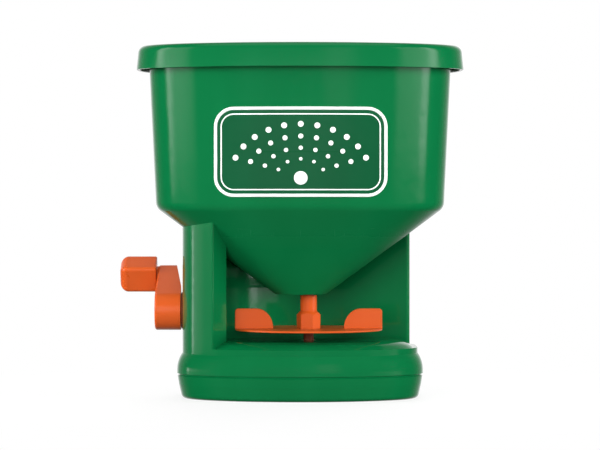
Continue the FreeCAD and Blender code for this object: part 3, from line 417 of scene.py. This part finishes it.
# ------------------------------------------------------------------ base tray with its seam
def shaped_tray():
    """The tray with a fine shadow groove under the housing's edge; the step at the sides of its front panel is left as
    the model has it.
    """
    src = NODES["base_tray"]
    bm = bmesh.new()
    bm.from_mesh(src.data)
    bm.transform(src.matrix_world)
    for z in (0.01595, 0.01615, 0.0168, 0.0173):
        bmesh.ops.bisect_plane(bm, geom=bm.verts[:] + bm.edges[:] + bm.faces[:], dist=1e-7, plane_co=(0, 0, z), plane_no=(0, 0, 1))
    for v in bm.verts:
        x, y, z = v.co
        if z < 0.01605 or z > 0.0176:
            continue
        p = 2.0 if y < 0 else 5.0
        yy = 0.054 if y < 0 else 0.074
        f = ((abs(x) / 0.086) ** p + (abs(y) / yy) ** p) ** (1.0 / p)
        if f < 0.984:
            continue
        n = Vector((abs(x / 0.086) ** (p - 1) / 0.086 * (1 if x > 0 else -1), abs(y / yy) ** (p - 1) / yy * (1 if y > 0 else -1), 0.0))
        n.normalize()
        depth = 0.0007 + 0.0004 * min(1.0, max(0.0, (z - 0.0161) / 0.0007))
        v.co = v.co - n * depth
    bm.normal_update()
    me = bpy.data.meshes.new("base_tray_seamed")
    bm.to_mesh(me)
    bm.free()
    me.materials.append(GREEN)
    o = bpy.data.objects.new("base_tray_seamed", me)
    bpy.context.scene.collection.objects.link(o)
    me.shade_smooth()
    me.set_sharp_from_angle(angle=math.radians(13.0))
    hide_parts("base_tray")
    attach(o, "frame_body")
    return o


shaped_tray()

# ------------------------------------------------------------------ stage
def plane(name, corners):
    me = bpy.data.meshes.new(name)
    me.from_pydata([Vector(c) for c in corners], [], [(0, 1, 2, 3)])
    o = bpy.data.objects.new(name, me)
    bpy.context.scene.collection.objects.link(o)
    return o


def disc(name, radius, n=96, rings=(0.0, 0.35, 0.6, 0.85, 1.0)):
    me = bpy.data.meshes.new(name)
    bm = bmesh.new()
    rows = []
    for k in rings:
        if k == 0.0:
            rows.append([bm.verts.new((0, 0, 0))])
        else:
            rows.append([bm.verts.new((radius * k * math.cos(2 * math.pi * i / n), radius * k * math.sin(2 * math.pi * i / n), 0)) for i in range(n)])
    for i in range(n):
        bm.faces.new((rows[0][0], rows[1][i], rows[1][(i + 1) % n]))
    for r0, r1 in zip(rows[1:], rows[2:]):
        for i in range(n):
            j = (i + 1) % n
            bm.faces.new((r0[i], r1[i], r1[j], r0[j]))
    bm.to_mesh(me)
    bm.free()
    o = bpy.data.objects.new(name, me)
    bpy.context.scene.collection.objects.link(o)
    return o


floor = disc("floor", 2.6)
fm, fnt, fb = new_mat("floor_white")
fv = tex_coord(fnt)
fnt.links.new(mixrgb(fnt, noise(fnt, fv, 3.0, 3.0), (0.90, 0.90, 0.90, 1), (0.94, 0.94, 0.94, 1)), fb.inputs["Base Color"])
fb.inputs["Roughness"].default_value = 0.6
# the paper sweep brightens to plain white away from the object
fg = fnt.nodes.new("ShaderNodeNewGeometry")
fl = fnt.nodes.new("ShaderNodeVectorMath")
fl.operation = "LENGTH"
fnt.links.new(fg.outputs["Position"], fl.inputs[0])
fade = maprange(fnt, fl.outputs["Value"], 0.08, 0.36, 0.80, 1.0)
fe = fnt.nodes.new("ShaderNodeEmission")
fe.inputs["Color"].default_value = (1, 1, 1, 1)
fmix = fnt.nodes.new("ShaderNodeMixShader")
fout = [n for n in fnt.nodes if n.type == "OUTPUT_MATERIAL"][0]
fnt.links.new(fade, fmix.inputs["Fac"])
fnt.links.new(fb.outputs["BSDF"], fmix.inputs[1])
fnt.links.new(fe.outputs["Emission"], fmix.inputs[2])
fnt.links.new(fmix.outputs["Shader"], fout.inputs["Surface"])
floor.data.materials.append(fm)
floor.visible_glossy = False
floor.visible_diffuse = False


def area(name, loc, target, size, power, col=(1, 1, 1)):
    l = bpy.data.lights.new(name, "AREA")
    l.shape = "RECTANGLE"
    l.size, l.size_y = size
    l.energy = power
    l.color = col
    o = bpy.data.objects.new(name, l)
    o.location = loc
    o.rotation_euler = (Vector(target) - Vector(loc)).to_track_quat("-Z", "Y").to_euler()
    bpy.context.scene.collection.objects.link(o)
    o.visible_camera = False
    return o


def at(az, dist, z):
    """Point at that azimuth from straight ahead of the front (towards the camera), + to the right."""
    t = math.radians(az)
    return (dist * math.sin(t), -dist * math.cos(t), z)


# broad soft lights that model the form but are shaded from mirror view, as with crossed polarisers
key = area("key", (-0.4, -3.9, 0.80), (0, 0, 0.12), (3.6, 2.0), 240)
side_l = area("side_left", at(-78, 3.3, 0.8), (0, 0, 0.12), (1.8, 2.0), 128)
side_r = area("side_right", at(80, 3.3, 0.8), (0, 0, 0.12), (1.8, 2.0), 150)
back = area("back", (0.6, 3.4, 1.8), (0, 0, 0.12), (3.0, 2.4), 150)
top = area("top", (0.0, 0.2, 2.6), (0, 0, 0.1), (2.4, 2.0), 4)
for l in (key, side_l, side_r, back, top):
    l.visible_glossy = False


def softbox(name, az0, az1, z0, z1, across, upward, dist=3.5):
    """Upright light panel from azimuth az0 to az1, its glow varying across (by azimuth) and upward (by height)."""
    mid, halfw = (az0 + az1) / 2, abs(az1 - az0) / 2
    w = 2 * dist * math.tan(math.radians(halfw))
    h = z1 - z0
    l = bpy.data.lights.new(name, "AREA")
    l.shape = "RECTANGLE"
    l.size, l.size_y = w, h
    l.energy = math.pi * w * h
    l.use_nodes = True
    nt = l.node_tree
    em = [n for n in nt.nodes if n.type == "EMISSION"][0]
    geo = nt.nodes.new("ShaderNodeNewGeometry")
    sep = nt.nodes.new("ShaderNodeSeparateXYZ")
    nt.links.new(geo.outputs["Parametric"], sep.inputs["Vector"])

    def u_of(az):
        return 0.5 + math.tan(math.radians(az - mid)) * dist / w

    # seen from the object the panel's own x axis runs towards larger azimuth
    ra = ramp(nt, sep.outputs["X"], sorted((min(1.0, max(0.0, u_of(a))), (v / 4.0,) * 3 + (1.0,)) for a, v in across))
    rb = ramp(nt, sep.outputs["Y"], sorted((min(1.0, max(0.0, (z - z0) / h)), (v,) * 3 + (1.0,)) for z, v in upward))
    p = mixrgb(nt, 1.0, ra, rb, "MULTIPLY")
    p = mixrgb(nt, 1.0, p, (4.0, 4.0, 4.0, 1.0), "MULTIPLY")
    nt.links.new(p, em.inputs["Color"])
    em.inputs["Strength"].default_value = 1.0
    o = bpy.data.objects.new(name, l)
    t = math.radians(mid)
    inward = Vector((-math.sin(t), math.cos(t), 0.0))
    up = Vector((0, 0, 1))
    o.matrix_world = Matrix.Translation(at(mid, dist, (z0 + z1) / 2)) @ Matrix((up.cross(-inward), up, -inward)).transposed().to_4x4()
    o.visible_camera = False
    bpy.context.scene.collection.objects.link(o)
    return o


def only_on(light, names):
    """Let a panel draw its highlights on these nodes alone."""
    c = bpy.data.collections.new(light.name + "_receivers")
    for n in names:
        c.objects.link(NODES[n] if n in NODES else bpy.data.objects[n])
    light.light_linking.receiver_collection = c


BASE_GROUP = ("main_housing", "base_tray", "base_tray_seamed")
UPPER_GROUP = [n for n in NODES if n not in BASE_GROUP] + ["badge_plate", "badge_rim", "badge_line", "badge_grains", "badge_source"]

# tall panels at the sides draw the long highlights: a soft glow with a bright strip along the far edge
UPWARD = [(-0.10, 0.0), (-0.05, 0.12), (-0.023, 0.30), (0.0, 0.45), (0.03, 0.62), (0.055, 0.72), (0.11, 0.86), (0.17, 1.0), (3.0, 1.0)]
left_panel = softbox("left_panel", -96, -54, -0.10, 3.0,
        [(-96, 0.0), (-93, 0.5), (-90, 2.6), (-86.5, 3.0), (-82.5, 1.9), (-79, 1.15), (-70, 1.0), (-61, 0.74), (-58, 0.40), (-55.5, 0.05), (-54, 0.0)], UPWARD)
right_panel = softbox("right_panel", 47, 87, -0.10, 3.0,
        [(47, 0.0), (49, 0.25), (52, 0.75), (60, 0.90), (67, 1.02), (72, 1.4), (75, 2.6), (79, 3.1), (82.5, 2.2), (85.5, 0.3), (87, 0.0)], UPWARD)
only_on(left_panel, UPPER_GROUP)
only_on(right_panel, UPPER_GROUP)
# low panels of the same kind for the housing and the base
LOW = [(-0.30, 0.0), (-0.20, 0.15), (-0.165, 0.3), (-0.145, 1.0), (0.15, 1.0), (0.25, 0.3), (0.30, 0.0)]
left_low = softbox("left_low", -114, -64, -0.30, 0.30,
                   [(-114, 0.15), (-110, 0.3), (-108.5, 2.6), (-105.5, 3.0), (-104, 1.2), (-98, 0.85), (-92, 0.65), (-86, 0.5), (-81, 0.24), (-72, 0.19), (-66, 0.08), (-64, 0.0)], LOW)
right_low = softbox("right_low", 47, 87, -0.30, 0.30,
                    [(47, 0.0), (49, 0.25), (52, 0.75), (60, 0.90), (67, 1.02), (72, 1.4), (75, 2.6), (79, 3.1), (82.5, 2.2), (85.5, 0.3), (87, 0.0)],
                    [(-0.30, 0.0), (-0.19, 0.0), (-0.17, 0.35), (-0.155, 0.30), (-0.145, 0.0), (-0.085, 0.0), (-0.055, 0.6), (-0.04, 1.0), (0.02, 1.0), (0.06, 0.35), (0.10, 0.0), (0.30, 0.0)])
only_on(left_low, BASE_GROUP)
only_on(right_low, BASE_GROUP)
# faint window to the right of the camera
window = softbox("window", 8, 28, -0.05, 2.2, [(8, 0.0), (13, 0.22), (20, 0.24), (24, 0.12), (28, 0.0)], [(-0.05, 0.0), (0.02, 0.5), (0.10, 1.0), (2.2, 1.0)])

only_on(window, [n for n in UPPER_GROUP if n != "spinner"] + list(BASE_GROUP))

world = bpy.data.worlds.new("studio")
world.use_nodes = True
wt = world.node_tree
bg = wt.nodes["Background"]
wtc = wt.nodes.new("ShaderNodeTexCoord")
wsep = wt.nodes.new("ShaderNodeSeparateXYZ")
wt.links.new(wtc.outputs["Generated"], wsep.inputs["Vector"])
wv = maprange(wt, wsep.outputs["Y"], -1.0, 1.0, 0.0, 1.0)
wc = ramp(wt, wv, [(0.0, (0.10, 0.10, 0.10, 1)), (0.30, (0.10, 0.10, 0.10, 1)), (0.45, (0.03, 0.03, 0.03, 1)), (0.67, (0.04, 0.04, 0.04, 1)),
                   (0.75, (0.15, 0.15, 0.15, 1)), (0.82, (0.30, 0.30, 0.30, 1)), (0.91, (0.6, 0.6, 0.6, 1)), (0.955, (1.0, 1.0, 1.0, 1))])
wup = ramp(wt, wsep.outputs["Z"], [(0.0, (0, 0, 0, 1)), (0.87, (0, 0, 0, 1)), (0.92, (0.5, 0.5, 0.5, 1)), (1.0, (0.6, 0.6, 0.6, 1))])
wt.links.new(mixrgb(wt, 1.0, wc, wup, "LIGHTEN"), bg.inputs["Color"])
bg.inputs["Strength"].default_value = 1.0
# the backdrop itself is plain white from every side
wlp = wt.nodes.new("ShaderNodeLightPath")
wbg = wt.nodes.new("ShaderNodeBackground")
wbg.inputs["Color"].default_value = (1, 1, 1, 1)
wmix = wt.nodes.new("ShaderNodeMixShader")
wamb = wt.nodes.new("ShaderNodeBackground")
wt.links.new(ramp(wt, maprange(wt, wsep.outputs["Z"], -1.0, 1.0, 0.0, 1.0),
                  [(0.0, (0.26, 0.26, 0.26, 1)), (0.46, (0.22, 0.22, 0.22, 1)), (0.54, (0.14, 0.14, 0.14, 1)), (1.0, (0.12, 0.12, 0.12, 1))]),
            wamb.inputs["Color"])
wmix2 = wt.nodes.new("ShaderNodeMixShader")
wt.links.new(wlp.outputs["Is Glossy Ray"], wmix2.inputs["Fac"])
wt.links.new(wamb.outputs["Background"], wmix2.inputs[1])
wt.links.new(bg.outputs["Background"], wmix2.inputs[2])
wout = [n for n in wt.nodes if n.type == "OUTPUT_WORLD"][0]
wt.links.new(wlp.outputs["Is Camera Ray"], wmix.inputs["Fac"])
wt.links.new(wmix2.outputs["Shader"], wmix.inputs[1])
wt.links.new(wbg.outputs["Background"], wmix.inputs[2])
wt.links.new(wmix.outputs["Shader"], wout.inputs["Surface"])
bpy.context.scene.world = world

# ------------------------------------------------------------------ camera
cam_data = bpy.data.cameras.new("camera")
cam_data.sensor_width = 36.0
cam_data.lens = 180.0
cam_data.shift_y = -25.0 / 600.0
cam_data.clip_end = 50.0
cam = bpy.data.objects.new("camera", cam_data)
cam.location = (0.0, -2.1, 0.1384)
cam.rotation_euler = (math.radians(90.0), 0.0, 0.0)
bpy.context.scene.collection.objects.link(cam)
bpy.context.scene.camera = cam
bpy.context.scene.view_settings.view_transform = "Standard"
